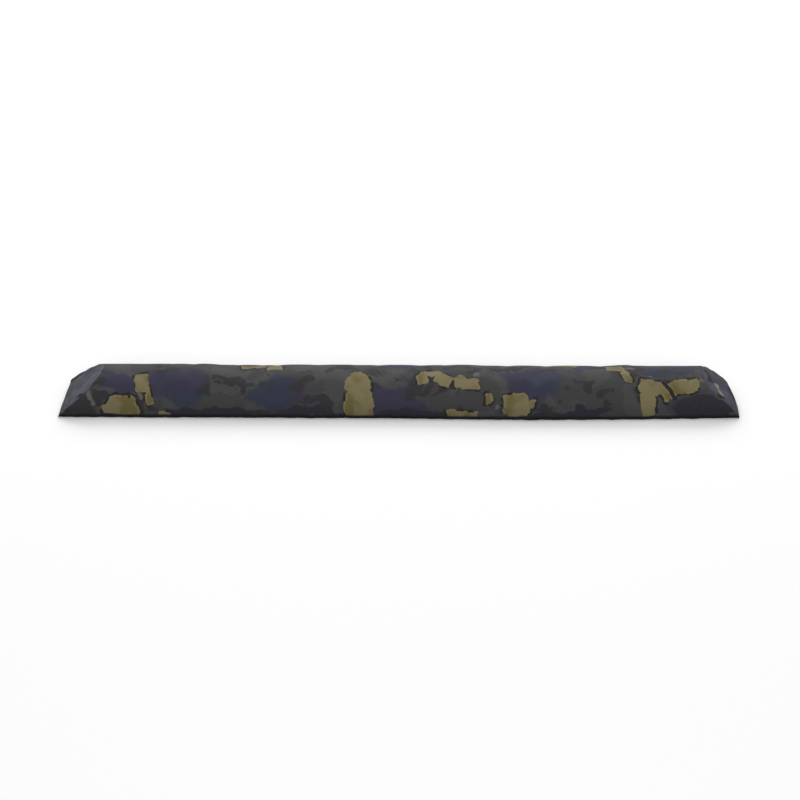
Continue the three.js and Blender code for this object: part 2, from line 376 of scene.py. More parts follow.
foamBlock = {
    "fromCover": 0.0032, "fromEnds": 0.003,
    "aroundSteps": 49, "underSteps": 13, "alongSteps": 121,
    "cap": [0, 0.35, 0.7, 0.93],  # the rings that close an end, as shares of its section
    "middleUp": 1 / 3,  # the height of the section's middle, as a share of the rise
}


# The foam: the crown's section inside the cover, flat below, at even steps along the pad. At both ends it
# shrinks by the cap's shares about the section's middle, on the slant, to a point.
def makeFoam():
    settings = foamBlock
    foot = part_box("foam_core")[0].z
    y, z = crownCurve(np.linspace(0, 1, settings["aroundSteps"]), settings["fromCover"])[:2]
    y = np.append(y, np.linspace(y[-1], y[0], settings["underSteps"])[1:])
    z = np.append(z.clip(foot), np.full(settings["underSteps"] - 1, foot))
    cap, body = settings["cap"], np.linspace(-1, 1, settings["alongSteps"])
    shrink = np.concatenate([cap, np.ones(len(body)), cap[::-1]])[:, None]
    along = np.concatenate([-np.ones(len(cap)), body, np.ones(len(cap))])[:, None]
    middleY, middleZ = crown["ridgeShift"], foot + crown["rise"] * settings["middleUp"]
    y, z = middleY + shrink * (y - middleY), middleZ + shrink * (z - middleZ)
    x = along * (seamReach(y, z, along) - settings["fromEnds"])
    points = np.stack([x, y, z], -1)
    return gridPiece("foam_block", sagged(points), points[..., :2], close=True)


underCloth = {
    "thickness": 0.0006,
    "layer": 0.0008,  # what a layer of cloth takes up in the folded stack
    "alongStep": 0.006, "acrossStep": 0.004, "turnSteps": 7,
    "hem": 0.008, "corner": 0.012,
    "waveHeight": 0.00008, "waveShortest": 0.03, "waveLongest": 0.09, "baseSeed": 41,
}
# Each flap's side of the pad, the radius of its fold, the side that its hem turns to, and the room below
# it, which the front one needs for its stitches.
flaps = {
    "front_flap": {"side": -1, "fold": 0.0024, "hemSide": 1, "lift": 0.0002, "seed": 42},
    "rear_flap": {"side": 1, "fold": 0.0011, "hemSide": -1, "lift": 0, "seed": 44},
}


# How much shorter a strip is at a distance from its edge, where its corner is a quarter circle of a radius:
# radius - sqrt(radius ** 2 - (radius - distance) ** 2).
def cornerCut(distance, radius):
    return radius - np.sqrt(radius**2 - (radius - distance).clip(0, radius) ** 2)


# The base panel: a flat sheet between the foam and the flaps, with slow waves. Both its ends have the bow
# of the right-hand seam.
def makeBase():
    low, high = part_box("base_panel")
    bow = ends["right"]["bow"]
    along = np.linspace(-1, 1, round(2 * high.x / underCloth["alongStep"]))[:, None]
    y = np.linspace(low.y, high.y, round((high.y - low.y) / underCloth["acrossStep"]))[None]
    x = along * (high.x - bow * (y / high.y) ** 2)
    waves = softWaves(underCloth["baseSeed"], x, y, underCloth["waveShortest"], underCloth["waveLongest"])
    z = (low.z + high.z) / 2 + underCloth["waveHeight"] * waves
    points = np.stack(np.broadcast_arrays(x, y, z), -1)
    return gridPiece("base_sheet", sagged(points), points[..., :2])


# A flap's cross-section, from its seam to the end of its hem: down beside the base panel, a quarter turn,
# flat under the pad, and a half turn into the hem, which lies above it (hemSide 1) or below (-1). Gives the
# distance in from the seam, the height, and the length of cloth.
def flapSection(run, bottom, top, fold, hemSide):
    half, steps = underCloth["layer"] / 2, underCloth["turnSteps"]
    quarter = np.linspace(0, math.pi / 2, steps)
    flatEnd, hemTurn, hemEnd = run - underCloth["corner"], run - underCloth["layer"], run - underCloth["hem"]
    flatSteps = round((run - fold) / underCloth["acrossStep"])
    hemSteps = round(underCloth["hem"] / underCloth["acrossStep"]) + 1
    flat = np.append(np.linspace(fold, flatEnd, flatSteps)[1:], np.linspace(flatEnd, hemTurn, steps)[1:-1])
    hem = np.linspace(hemTurn, hemEnd, hemSteps)[1:]
    inward = np.concatenate([
        [half], fold - (fold - half) * np.cos(quarter), flat, hemTurn + half * np.sin(2 * quarter), hem])
    level = bottom + half
    turned = level + hemSide * half * (1 - np.cos(2 * quarter))
    height = np.concatenate([
        [top], bottom + fold - (fold - half) * np.sin(quarter), np.full(len(flat), level), turned,
        np.full(len(hem), turned[-1])])
    cloth = np.append(0, np.cumsum(np.hypot(np.diff(inward), np.diff(height))))
    return inward, height, cloth


# One closure flap: its section carried along the pad, with its two free corners rounded. Gives its flat
# size too.
def makeFlap(name, node, side, fold, hemSide, lift, seed):
    low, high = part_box(node)
    seam, free = (low.y, high.y) if side < 0 else (high.y, low.y)
    bottom = low.z if hemSide > 0 else low.z + underCloth["layer"]
    run = abs(free - seam)
    inward, height, cloth = flapSection(run, bottom + lift, high.z, fold, hemSide)
    along = np.linspace(-1, 1, round(2 * high.x / underCloth["alongStep"]))[:, None]
    x = along * (high.x - cornerCut(run - inward, underCloth["corner"]))
    waves = softWaves(seed, x, cloth + 0 * x, underCloth["waveShortest"], underCloth["waveLongest"])
    z = height + underCloth["waveHeight"] * waves.clip(-1)
    points = np.stack(np.broadcast_arrays(x, seam - side * inward, z), -1)
    flap = gridPiece(name, sagged(points), np.stack(np.broadcast_arrays(x, cloth), -1))
    return flap, (2 * high.x, float(cloth[-1]))


tape = {"thickness": 0.0006, "corner": 0.003, "alongStep": 0.006, "acrossSteps": 17}


# A strip of hook or loop tape, flat between the flaps, with rounded corners. Gives its flat size too.
def makeTape(name, node):
    low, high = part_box(node)
    along = np.linspace(-1, 1, round(2 * high.x / tape["alongStep"]))[:, None]
    y = high.y * np.sin(np.linspace(-math.pi / 2, math.pi / 2, tape["acrossSteps"]))[None]
    x = along * (high.x - cornerCut(high.y - np.abs(y), tape["corner"]))
    points = np.stack(np.broadcast_arrays(x, y, (low.z + high.z) / 2), -1)
    return gridPiece(name, sagged(points), points[..., :2]), (2 * high.x, 2 * high.y)


stitch = {
    "length": 0.0029, "pitch": 0.0036, "radius": 0.0002, "rise": 0.00008,
    "ringSteps": 7, "lengthSteps": 5,
    "fromTapeEdge": 0.002, "fromHemEdge": 0.0062,
}


# A row of stitches, each a spindle along the row: at a share t of its half length, from -1 to 1, the thread
# has the radius times sqrt(1 - t ** 2), and its middle stands out of the cloth by rise * (1 - t ** 2).
def stitchRow(start, stop, outward):
    start, stop, outward = [np.array(corner, float) for corner in (start, stop, outward)]
    length = np.linalg.norm(stop - start)
    ahead = (stop - start) / length
    count = round(length / stitch["pitch"])
    centres = start + (stop - start) * ((np.arange(count) + 0.5) / count)[:, None]
    share = np.linspace(-1, 1, stitch["lengthSteps"])[:, None, None]
    turn = np.linspace(0, 2 * math.pi, stitch["ringSteps"])[None, :, None]
    ring = np.cos(turn) * outward + np.sin(turn) * np.cross(outward, ahead)
    swell = np.sqrt((1 - share**2).clip(0))
    spindle = ahead * share * stitch["length"] / 2 + outward * stitch["rise"] * swell**2
    return centres[:, None, None] + spindle + ring * swell * stitch["radius"]


# The stitches that show under the front flap: both long edges and both ends of its tape, and its hem.
def makeStitches():
    flapHigh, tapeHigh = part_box("front_flap")[1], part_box("hook_tape")[1]
    edge = stitch["fromTapeEdge"]
    x, y = tapeHigh.x - edge, tapeHigh.y - edge
    hemX, hemY = flapHigh.x - underCloth["corner"], flapHigh.y - stitch["fromHemEdge"]
    z = underCloth["layer"] / 2 + flaps["front_flap"]["lift"] - underCloth["thickness"] / 2
    rows = [((-x, -y), (x, -y)), ((-x, y), (x, y)), ((-x, -y), (-x, y)), ((x, -y), (x, y)),
            ((-hemX, hemY), (hemX, hemY))]
    points = np.concatenate([stitchRow((*first, z), (*last, z), (0, 0, -1)) for first, last in rows])
    return gridPiece("flap_stitching", sagged(points), points[..., :2], close=True)


# Arithmetic on a number inside a material adds Math nodes to it.
class Signal:
    def __init__(self, finish, socket):
        self.finish = finish
        self.socket = socket

    def maths(self, operation, *parts):
        return self.finish.add("ShaderNodeMath", {"operation": operation}, parts)

    # Half rounds side by side: the absolute sine.
    def humps(self):
        return self.maths("ABSOLUTE", self.maths("SINE", self))

    def __add__(self, other):
        return self.maths("ADD", self, other)

    def __sub__(self, other):
        return self.maths("SUBTRACT", self, other)

    def __rsub__(self, other):
        return self.maths("SUBTRACT", other, self)

    def __mul__(self, other):
        return self.maths("MULTIPLY", self, other)

    def __truediv__(self, other):
        return self.maths("DIVIDE", self, other)

    __radd__ = __add__
    __rmul__ = __mul__


# One material or world. Every node comes from add: its type, the settings that are set first, its sockets'
# values or links, and the output that is used, by its number or name.
class Finish:
    def __init__(self, owner):
        self.owner = owner
        owner.use_nodes = True
        self.tree = owner.node_tree
        self.tree.nodes.clear()

    def add(self, kind, settings=None, sockets=(), output=0):
        node = self.tree.nodes.new(kind)
        for setting, value in (settings or {}).items():
            setattr(node, setting, value)
        pairs = sockets.items() if isinstance(sockets, dict) else enumerate(sockets)
        for socket, value in pairs:
            if isinstance(value, Signal):
                self.tree.links.new(value.socket, node.inputs[socket])
            else:
                node.inputs[socket].default_value = value
        return Signal(self, node.outputs[output]) if node.outputs else None

    def vector(self, operation, *parts, output="Vector"):
        return self.add("ShaderNodeVectorMath", {"operation": operation}, parts, output)

    def scaled(self, vector, amount):
        return self.add("ShaderNodeVectorMath", {"operation": "SCALE"}, {"Vector": vector, "Scale": amount})

    def cloth(self):
        return self.add("ShaderNodeUVMap", {"uv_map": "cloth"})

    def parts(self, vector):
        return [self.add("ShaderNodeSeparateXYZ", {}, [vector], side) for side in "XY"]

    def noise(self, place, size, detail=2.0, roughness=0.5, output=0):
        sockets = {"Vector": place, "Scale": 1 / size, "Detail": detail, "Roughness": roughness}
        return self.add("ShaderNodeTexNoise", {"noise_dimensions": "2D"}, sockets, output)

    # 1 where the value is below the edge, falling to 0 over the given width.
    def below(self, value, edge, width):
        return self.add("ShaderNodeMapRange", {"interpolation_type": "SMOOTHSTEP"},
                        [value, edge - width / 2, edge + width / 2, 1.0, 0.0])

    # 1 in the spots where noise is below a level.
    def spots(self, place, size, detail, level, width, roughness=0.5):
        return self.below(self.noise(place, size, detail, roughness), level, width)

    # The sockets' numbers are those of the node's colours, which share their names with others.
    def blend(self, amount, under, over, how="MIX"):
        return self.add("ShaderNodeMix", {"data_type": "RGBA", "blend_type": how},
                        {0: amount, 6: under, 7: over}, 2)

    def grey(self, shade):
        return self.add("ShaderNodeCombineColor", {}, [shade, shade, shade])

    # The shader itself, for a surface with a relief: its colour times a shade, and less rough where it is
    # higher. What varies is linked, and what is the same all over is set on its socket.
    def relief(self, colour, shade, height, look, **constants):
        sockets = {name.replace("_", " "): value for name, value in constants.items()}
        sockets["Base Color"] = self.blend(1.0, colour, self.grey(shade), "MULTIPLY")
        sockets["Roughness"] = look["roughness"] - height * look["smoother"]
        sockets["Normal"] = self.add("ShaderNodeBump", {}, {
            "Strength": look["bump"], "Distance": look["depth"], "Height": height})
        self.add("ShaderNodeOutputMaterial", {}, [self.add("ShaderNodeBsdfPrincipled", {}, sockets)])
        return self.owner


# A display colour from 0 to 255 as the light it stands for: ((part / 255 + 0.055) / 1.055) ** 2.4, which is
# the display's own curve above its darkest end.
def ink(red, green, blue):
    light = [((part / 255 + 0.055) / 1.055) ** 2.4 for part in (red, green, blue)]
    return *light, 1.0


weave = {
    "pitch": 0.0007, "depth": 0.00012,
    "crossing": 0.35,  # the share of the height that both threads make together
    "slubLength": 0.008, "slubWidth": 0.0012, "slubDetail": 1,
}


# A plain weave on the flat cloth: in a checker of cells one thread or the other is on top, and each thread
# is a half round across its own cell. The height is a share of both half rounds' product, and for the rest
# the upper's.
def wovenHeight(finish, place):
    warp, weft = [part / weave["pitch"] for part in finish.parts(place)]
    warpRound, weftRound = [(part * math.pi).humps() for part in (warp, weft)]
    checker = warp.maths("PINGPONG", warp.maths("FLOOR", warp) + weft.maths("FLOOR", weft), 1.0)
    both, upper = weave["crossing"], 1 - weave["crossing"]
    return warpRound * weftRound * both + warpRound * checker * upper + weftRound * (1 - checker) * upper


# Uneven threads: noise drawn out along the cloth.
def slubs(finish, place):
    drawn = (weave["slubWidth"] / weave["slubLength"], 1, 1)
    return finish.noise(finish.vector("MULTIPLY", place, drawn), weave["slubWidth"], weave["slubDetail"])


# Woven cloth of a colour: lighter where the weave is higher and where the threads are thick, and darker by
# the painted shade that it is given.
def wovenCloth(finish, place, colour, look, paintedShade=0.0):
    height = wovenHeight(finish, place)
    shade = look["shade"] + height * look["lighter"] + slubs(finish, place) * look["slubs"] - paintedShade
    return finish.relief(colour, shade, height, look,
                         Specular_IOR_Level=look["specular"], Sheen_Weight=look["sheen"])


# The black binding, in a band that is partly painted shade at the foot, and painted shade on the cloth
# above it, darker up to about a reach, by a depth.
bindingAndFootShade = {"width": 0.0046, "blur": 0.003, "colour": ink(30, 30, 33)}
paintedFootShade = {"reach": 0.017, "fade": 0.022, "depth": 0.15}
printLook = {
    "shade": 0.73, "lighter": 0.08, "slubs": 0.1, "roughness": 0.8, "smoother": 0.12,
    "specular": 0.18, "sheen": 0.03, "depth": weave["depth"], "bump": 0.5,
}

# What the print is drawn with. Slow noise bends the patches a little (bend) or more (drift), and cells tear
# them. Spots are where noise is below a level: its size, detail, level, the width of the spots' edge, and
# the noise's roughness where it isn't a half. Edges are those of the soft patches, which noise breaks up:
# its size, detail and amount, and the edge's place and width.
camouflage = {
    "moss": ink(70, 73, 68), "soot": ink(57, 55, 58), "outline": ink(44, 42, 43),
    "navy": ink(64, 60, 80), "indigo": ink(58, 62, 80), "duskAndShade": ink(54, 50, 62),
    "khaki": ink(138, 128, 94), "ochre": ink(116, 106, 62),
    "slow": 0.04, "bend": 0.009, "drift": 0.034, "cell": 0.008, "tear": 0.34,
    "secondSpots": (0.06, 2, 0.5, 0.03), "mossSpots": (0.05, 2, 0.37, 0.05),
    "indigoSpots": (0.07, 2, 0.5, 0.1), "sootSpots": (0.034, 3, 0.4, 0.04, 0.62),
    "ochreSpots": (0.03, 2, 0.5, 0.25), "outlineSpots": (0.02, 1, 0.56, 0.06),
    "mossShift": (0.31, 0.17, 0),  # the moss is read this far off in the noise, away from the second tone
    "sootStretch": (0.75, 1.15, 1),  # draws the soot out along the pad
    "navyEdge": (0.03, 3, 0.7, 0.95, 0.35), "duskAndShadeEdge": (0.02, 3, 0.8, 1.0, 0.25),
    "merge": 0.2,  # how softly neighbouring soft patches run together
    "cornerCut": 0.3, "rim": 0.0016, "outlineWidth": 0.0022,
    "blur": {"soot": 0.0025, "khaki": 0.0008, "rim": 0.002, "slits": 0.001, "pale": 0.0015},
}

# The patches, from what the photo shows: soft navy and dusk ones, and cut ones of khaki, soot, dark slits
# and pale strokes. The long dusk ones low on the cover are partly print and partly painted shade along its
# foot. Each is the x and the girth of its centre and half its length and height, in millimetres, and its
# turn in degrees. A cut one has its taper too: by what share it is shorter at its top and longer at its
# bottom. On an end panel x is the way up the slant, and the girth is y.
prints = {
    "cover": {
        "ground": ink(80, 79, 80), "second": ink(72, 71, 73), "stroke": ink(102, 102, 98),
        "khaki": [
            (-326, 46, 9.5, 13.5, 5, 0), (-317, 29, 4, 13, 12, 0), (-351, 17, 20, 12, 0, 0.3),
            (-296, 4, 9, 4, 0, 0), (-187, 78, 16, 4, 0, 0), (-159, 76, 9, 8, 0, 0.3),
            (-52, 50, 12.5, 14, 0, 0.4), (-50, 21, 18, 17, 0, 0.1), (40, 63, 16, 6, 0, 0.2),
            (28, 55, 7, 8, 20, 0), (56, 51, 11, 9, -30, 0), (86, 45, 17, 8, 0, 0), (81, 52, 9, 6, 0, 0.4),
            (79, 6, 18, 6, 0, -0.2), (112, 27, 4.5, 7, 0, 0), (147, 20, 16, 14, 8, -0.1),
            (161, 23, 10, 5, -8, 0), (274, 74, 12, 6, 0, 0), (289, 58, 5, 11, 32, 0),
            (321, 42, 17, 10, -12, 0), (315, 20, 8, 15, 4, 0), (337, 31, 6, 8, 35, 0),
            (360, 42, 18, 10, 14, -0.1),
        ],
        "navy": [
            (-355, 46, 22, 17, 0), (-279, 44, 38, 30, 0), (-152, 32, 34, 26, 0), (-8, 21, 48, 18, 0),
            (167, 49, 36, 27, 0), (340, 72, 34, 17, 0), (376, 16, 30, 12, 0),
        ],
        # Partly painted shade: the long dusk patches low on the cover darken it along its foot.
        "duskAndShade": [
            (384, 14, 44, 15, 0), (215, 7, 60, 9, 0), (-240, 6, 70, 8, 0), (-110, 5, 60, 7, 0),
            (10, 6, 60, 7, 0),
        ],
        "soot": [(-401, 18, 13, 15, 0, 0.7), (-386, 47, 4, 6, 20, 0.4), (-328, 27, 7, 10, 20, 0)],
        "slits": [(342, 37, 15, 2.4, -57, 0), (-344, 29, 2, 4, 20, 0)],
        "pale": [
            (-388, 24, 9, 2, -60, 0), (-328, 27, 2.4, 4.6, 25, 0), (101, 60, 4, 3, 0, 0),
            (294, 76, 7, 1.8, -14, 0), (322, 55, 6, 1.2, -62, 0), (124, 16, 2.4, 3, 30, 0),
            (385, 53, 5, 1.6, 10, 0),
        ],
    },
    # The end panels' grounds and second tones are lighter than the cover's: partly the print's lighter greys,
    # and partly painted light for the light that the slanted ends catch.
    "left": {
        "ground": ink(98, 98, 111), "second": ink(84, 84, 96), "stroke": ink(108, 108, 114),
        "khaki": [], "navy": [(46, 20, 12, 12, 0)], "duskAndShade": [(4, 34, 12, 10, 0)],
        "soot": [(3, -36, 5, 6, 0, 0)], "slits": [], "pale": [(18, -26, 2, 9, 12, 0)],
    },
    "right": {
        "ground": ink(88, 88, 104), "second": ink(78, 78, 92), "stroke": ink(146, 146, 124),
        "khaki": [], "navy": [(32, 22, 14, 14, 0)], "duskAndShade": [(10, -4, 14, 18, 0)],
        "soot": [(56, 0, 3, 14, -24, 0)], "slits": [],
        "pale": [(41, -18, 2, 11, -28, 0), (5, -25, 5, 5, 30, 0)],
    },
}

# The patches of the pad's back, which the photo doesn't show: how many there are of a kind, the ranges of
# their girths and of half their lengths in millimetres, and their taper if they have one. All have the
# ranges of a place in their cell, a height as a share of the length, and a turn in degrees.
backPrint = {
    "spread": 840, "inCell": (0.2, 0.8), "height": (0.4, 0.9), "turn": (-40, 40),
    "khaki": {"seed": 5, "count": 11, "girths": (96, 124), "halfLengths": (10, 22), "taper": (0.3,)},
    "navy": {"seed": 6, "count": 7, "girths": (92, 122), "halfLengths": (24, 42), "taper": ()},
}


# Patches for the back of the pad: one in each cell of a row of cells along it, by the seed.
def backPatches(seed, count, girths, halfLengths, taper):
    dice = np.random.default_rng(seed)
    cells = (np.arange(count) + dice.uniform(*backPrint["inCell"], count)) / count
    centres = (cells - 0.5) * backPrint["spread"]
    around = dice.uniform(*girths, count)
    lengths = dice.uniform(*halfLengths, count)
    heights = lengths * dice.uniform(*backPrint["height"], count)
    turns = dice.uniform(*backPrint["turn"], count)
    return [(*patch, *taper) for patch in np.stack([centres, around, lengths, heights, turns], 1).tolist()]


# Patches with their four lengths in metres.
def inMetres(patches):
    return [(*[part / 1000 for part in patch[:4]], *patch[4:]) for patch in patches]


# A place on the flat cloth as seen from a patch: from its centre, turned with it, in units of the scale, so
# ((place - centre) turned back) / scale.
def patchView(finish, place, x, around, turn, scale=(1, 1, 1)):
    return finish.add("ShaderNodeMapping", {"vector_type": "TEXTURE"}, {
        "Vector": place, "Location": (x, around, 0), "Rotation": (0, 0, math.radians(turn)), "Scale": scale})


# The distance to the nearest soft patch, an ellipse, where 1 is its edge: the length of the place in units
# of half the ellipse's length and height, and the smooth least of all patches.
def softDistance(finish, place, patches):
    nearest = None
    for x, around, halfLength, halfHeight, turn in inMetres(patches):
        local = patchView(finish, place, x, around, turn, (halfLength, halfHeight, 1))
        distance = finish.vector("LENGTH", local, output="Value")
        if nearest is not None:
            distance = distance.maths("SMOOTH_MIN", nearest, distance, camouflage["merge"])
        nearest = distance
    return nearest


# About how far in metres a place lies outside the nearest cut patch, a trapezium with its corners cut off:
# the greatest of the distances past its ends, past its top or bottom, and past its cut corners.
def cutDistance(finish, place, patches):
    nearest = None
    for x, around, halfLength, halfHeight, turn, taper in inMetres(patches):
        sideways, upwards = finish.parts(patchView(finish, place, x, around, turn))
        lean = taper * halfLength / halfHeight
        across = sideways.maths("ABSOLUTE", sideways) + upwards * lean - halfLength
        up = upwards.maths("ABSOLUTE", upwards) - halfHeight
        cut = camouflage["cornerCut"] * min(halfLength, halfHeight)
        corner = (across + up + cut) * math.sqrt(0.5)
        distance = across.maths("MAXIMUM", across.maths("MAXIMUM", across, up), corner)
        if nearest is not None:
            distance = distance.maths("MINIMUM", nearest, distance)
        nearest = distance
    return nearest


# A colour over a tone in the soft patches, with edges that noise breaks up.
def withSoft(finish, tone, colour, place, wide, patches, size, detail, amount, edge, width):
    broken = softDistance(finish, wide, patches) + finish.noise(place, size, detail) * amount - amount / 2
    return finish.blend(finish.below(broken, edge, width), tone, colour)


# A colour over a tone in the cut patches.
def withCut(finish, tone, colour, place, patches, blur):
    return finish.blend(finish.below(cutDistance(finish, place, patches), 0, blur), tone, colour)


# The printed colours at a place on the cloth, one over another: the ground with spots of a second tone and
# of moss, soft navy, dusk along the bottom that is partly painted shade, soot, khaki with a pale rim and a
# broken dark outline, slits, and pale strokes.
def printedColour(finish, place, patches):
    look, blur = camouflage, camouflage["blur"]
    slow = finish.vector("SUBTRACT", finish.noise(place, look["slow"], output="Color"), (0.5, 0.5, 0.5))
    bent = finish.vector("ADD", place, finish.scaled(slow, look["bend"]))
    wide = finish.vector("ADD", place, finish.scaled(slow, look["drift"]))
    cells = finish.add("ShaderNodeTexVoronoi", {"voronoi_dimensions": "2D"},
                       {"Vector": bent, "Scale": 1 / look["cell"]}, "Position")
    tear = finish.scaled(finish.vector("SUBTRACT", cells, bent), look["tear"])
    jagged, torn = finish.vector("ADD", bent, tear), finish.vector("ADD", wide, tear)
    tone = finish.blend(finish.spots(torn, *look["secondSpots"]), patches["ground"], patches["second"])
    if patches["khaki"]:
        elsewhere = finish.vector("ADD", torn, look["mossShift"])
        tone = finish.blend(finish.spots(elsewhere, *look["mossSpots"]), tone, look["moss"])
    blue = finish.blend(finish.spots(bent, *look["indigoSpots"]), look["navy"], look["indigo"])
    tone = withSoft(finish, tone, blue, place, wide, patches["navy"], *look["navyEdge"])
    # The dusk patches are partly print and partly painted shade along the foot.
    tone = withSoft(finish, tone, look["duskAndShade"], place, wide, patches["duskAndShade"], *look["duskAndShadeEdge"])
    stretched = finish.vector("MULTIPLY", torn, look["sootStretch"])
    tone = finish.blend(finish.spots(stretched, *look["sootSpots"]), tone, look["soot"])
    tone = withCut(finish, tone, look["soot"], jagged, patches["soot"], blur["soot"])
    if patches["khaki"]:
        away = cutDistance(finish, jagged, patches["khaki"])
        broken = finish.spots(bent, *look["outlineSpots"])
        outlined = finish.below(away, look["outlineWidth"], blur["khaki"]) * broken
        tone = finish.blend(outlined, tone, look["outline"])
        warm = finish.blend(finish.spots(jagged, *look["ochreSpots"]), look["khaki"], look["ochre"])
        warm = finish.blend(finish.below(away, -look["rim"], blur["rim"]), look["khaki"], warm)
        tone = finish.blend(finish.below(away, 0, blur["khaki"]), tone, warm)
        tone = withCut(finish, tone, look["outline"], bent, patches["slits"], blur["slits"])
    return withCut(finish, tone, patches["stroke"], jagged, patches["pale"], blur["pale"])


# How far a place on the flat cloth lies from the bottom edge of its piece.
def footDistance(finish, place, part):
    along, around = finish.parts(place)
    return around.maths("MINIMUM", around, girth - around) if part == "cover" else along


# Woven, printed polyester, bound in black along the bottom in a band that is partly painted shade, and
# darker just above it by painted shade. An end panel's places are read from its foot.
def printedCloth(name, part):
    finish = Finish(bpy.data.materials.new(name))
    place = finish.cloth()
    printPlace = place
    if part != "cover":
        side = -1 if part == "left" else 1
        panelFoot = (side * crown["cornerReach"], endCloth["mapShift"], 0)
        printPlace = finish.vector("MULTIPLY", finish.vector("SUBTRACT", place, panelFoot), (side, 1, 1))
    foot = footDistance(finish, printPlace, part)
    # Painted shade in part: the black band at the foot is the binding and the shade along the foot, drawn as
    # one.
    bindingAndShadeMask = finish.below(foot, bindingAndFootShade["width"], bindingAndFootShade["blur"])
    colour = finish.blend(bindingAndShadeMask, printedColour(finish, printPlace, prints[part]), bindingAndFootShade["colour"])
    # Painted shade: the cloth is darker near its foot, up to about the reach.
    low = finish.below(foot, paintedFootShade["reach"], paintedFootShade["fade"])
    return wovenCloth(finish, place, colour, printLook, low * paintedFootShade["depth"])


blackWeave = {
    "shade": 0.78, "lighter": 0.2, "slubs": 0.2, "smoother": 0.1, "specular": 0.3, "sheen": 0.0,
    "depth": weave["depth"], "bump": 0.6,
}
baseLook = {**blackWeave, "colour": ink(30, 31, 33), "roughness": 0.85}
flapLook = {**blackWeave, "colour": ink(34, 35, 38), "roughness": 0.8}


# Plain black woven polyester.
def plainCloth(name, look):
    finish = Finish(bpy.data.materials.new(name))
    return wovenCloth(finish, finish.cloth(), look["colour"], look)


hookLook = {
    "colour": ink(24, 25, 27), "pitch": 0.0016, "shade": 0.6, "lighter": 0.5,
    "roughness": 0.65, "smoother": 0.2, "depth": 0.0003, "bump": 0.9,
}


# Hook tape: small stiff hooks in rows on their backing, as a product of two waves.
def hookTape(name, look):
    finish = Finish(bpy.data.materials.new(name))
    rows, columns = finish.parts(finish.scaled(finish.cloth(), math.pi / look["pitch"]))
    hooks = rows.humps() * columns.humps()
    return finish.relief(look["colour"], look["shade"] + hooks * look["lighter"], hooks, look)


loopLook = {
    "colour": ink(33, 34, 36), "size": 0.0006, "detail": 4, "fineness": 0.7, "shade": 0.55, "lighter": 0.9,
    "roughness": 1.0, "smoother": 0.1, "sheen": 0.3, "depth": 0.0003, "bump": 0.9,
}


# Loop tape: a brushed pile of fine loops, as noise.
def loopTape(name, look):
    finish = Finish(bpy.data.materials.new(name))
    pile = finish.noise(finish.cloth(), look["size"], look["detail"], look["fineness"])
    shade = look["shade"] + pile * look["lighter"]
    return finish.relief(look["colour"], shade, pile, look, Sheen_Weight=look["sheen"])


foamLook = {
    "colour": ink(92, 96, 100), "cell": 0.0012, "patch": 0.03, "shade": 0.78, "lighter": 0.25,
    "patches": 0.12, "roughness": 0.95, "smoother": 0.1, "depth": 0.0004, "bump": 0.6,
}


# Closed-cell foam: fine cut cells, darker in their middles, in slow patches of tone.
def foamFinish(name, look):
    finish = Finish(bpy.data.materials.new(name))
    place = finish.add("ShaderNodeTexCoord", {}, [], "Object")
    cells = finish.add("ShaderNodeTexVoronoi", {"voronoi_dimensions": "3D"},
                       {"Vector": place, "Scale": 1 / look["cell"]})
    shade = look["shade"] + cells * look["lighter"] + finish.noise(place, look["patch"]) * look["patches"]
    return finish.relief(look["colour"], shade, cells, look)


threadLook = {
    "colour": ink(40, 41, 44), "twist": 0.0005, "shade": 0.75, "lighter": 0.3,
    "roughness": 0.6, "smoother": 0.1, "depth": 0.000125, "bump": 0.5,
}


# Sewing thread: a fine twist along it, as a slanted sine between 0 and 1.
def threadFinish(name, look):
    finish = Finish(bpy.data.materials.new(name))
    along, across = finish.parts(finish.cloth())
    slanted = (along + across) * (2 * math.pi / look["twist"])
    strands = slanted.maths("SINE", slanted) * 0.5 + 0.5
    return finish.relief(look["colour"], look["shade"] + strands * look["lighter"], strands, look)


print("Making the cover and the end panels")
cover = makeCover()
finishWith(cover, "SOLIDIFY", thickness=coverCloth["thickness"], offset=-1)
for kind in ("khaki", "navy"):
    prints["cover"][kind] += backPatches(**backPrint[kind])
dress(cover, printedCloth("printedCoverCloth", "cover"), "top_cover")
for side, end in (("left", -1), ("right", 1)):
    panel = makeEndPanel("end_cover_" + side, end)
    finishWith(panel, "SOLIDIFY", thickness=endCloth["thickness"], offset=-1)
    dress(panel, printedCloth("printedEndCloth_" + side, side), "end_panel_" + side)

print("Making the foam, the base panel, the flaps and their tapes")
foam = makeFoam()
dress(foam, foamFinish("foamCells", foamLook), "foam_core")
baseSheet = makeBase()
finishWith(baseSheet, "SOLIDIFY", thickness=underCloth["thickness"], offset=0)
dress(baseSheet, plainCloth("baseWeave", baseLook), "base_panel")
flapFinish = plainCloth("flapWeave", flapLook)
for node in ("front_flap", "rear_flap"):
    flap, cut = makeFlap(node + "_cloth", node, **flaps[node])
    finishWith(flap, "SOLIDIFY", thickness=underCloth["thickness"], offset=0)
    dress(flap, flapFinish, node)
for kind, finish, flap in (("hook_tape", hookTape("hookRows", hookLook), "front_flap_cloth"),
                           ("loop_tape", loopTape("loopPile", loopLook), "rear_flap_cloth")):
    strip, cut = makeTape(kind + "_strip", kind)
    finishWith(strip, "SOLIDIFY", thickness=tape["thickness"], offset=0)
    dress(strip, finish, kind)
dress(makeStitches(), threadFinish("blackThread", threadLook))

# The photo's view: from the front, 30 degrees up, with the front bottom edge a little below the middle.
view = {
    "elevation": 30.0,
    "distance": 2.03,  # to the middle of the front bottom edge
    "metresPerPixel": 0.001263,  # there
    "edgeRight": -0.96, "edgeDown": 18.9,  # where that point lies from the middle of the picture, in pixels
    "roll": 0.232,  # in degrees, as the elevation
    "pictureWidth": 800,
    "sensor": 36.0,
}


